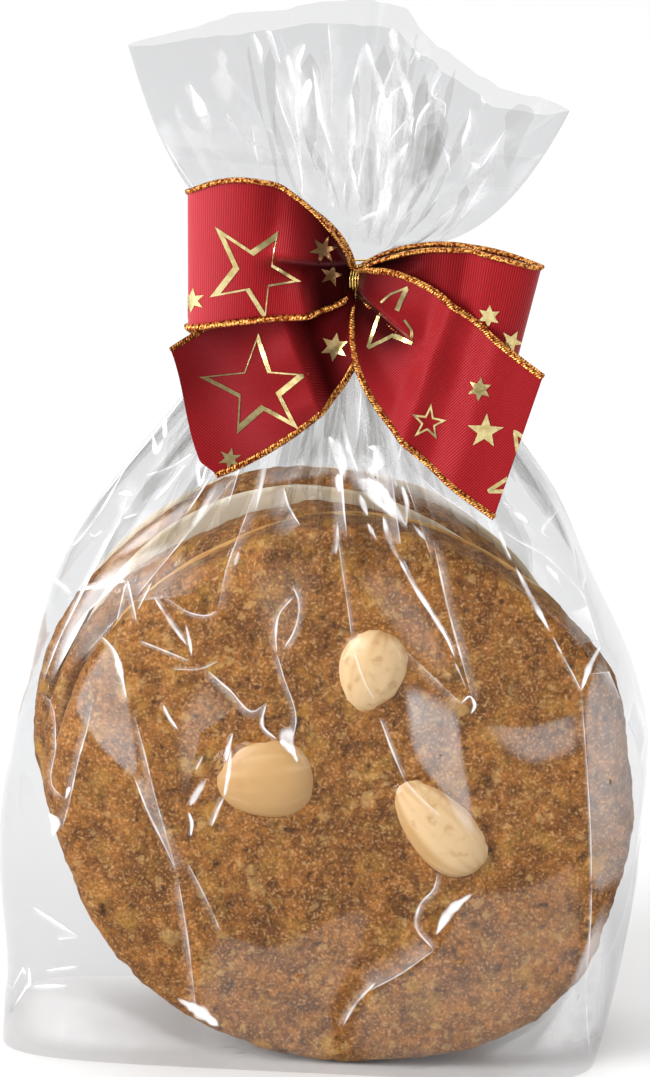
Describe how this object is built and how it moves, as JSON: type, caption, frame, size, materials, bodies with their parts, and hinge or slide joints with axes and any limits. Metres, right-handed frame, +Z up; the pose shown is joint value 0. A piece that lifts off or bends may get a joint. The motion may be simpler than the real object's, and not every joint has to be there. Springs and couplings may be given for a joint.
{
  "type": "lebkuchen gift bag",
  "caption": "Standing clear film gift bag of round almond lebkuchen, gathered at the neck and tied with gold wire and a red ribbon bow with gold edges and stars.",
  "frame": {"origin": "middle of the bag's flat base", "axes": "+Z up towards the tied neck, -Y towards the front with the bow, +X to the right seen from the front"},
  "size_m": [0.1223, 0.0479, 0.1991],
  "materials": {
    "film": "thin clear film, glossy, creased, over brown biscuit",
    "ribbon": "ribbed red ribbon with woven gold edges and gold foil stars",
    "gold_wire": "thin gold metallic wire"
  },
  "bodies": {
    "root": {"bag": "film", "ribbon_bow": "ribbon", "tie": "gold_wire"}
  },
  "joints": []
}
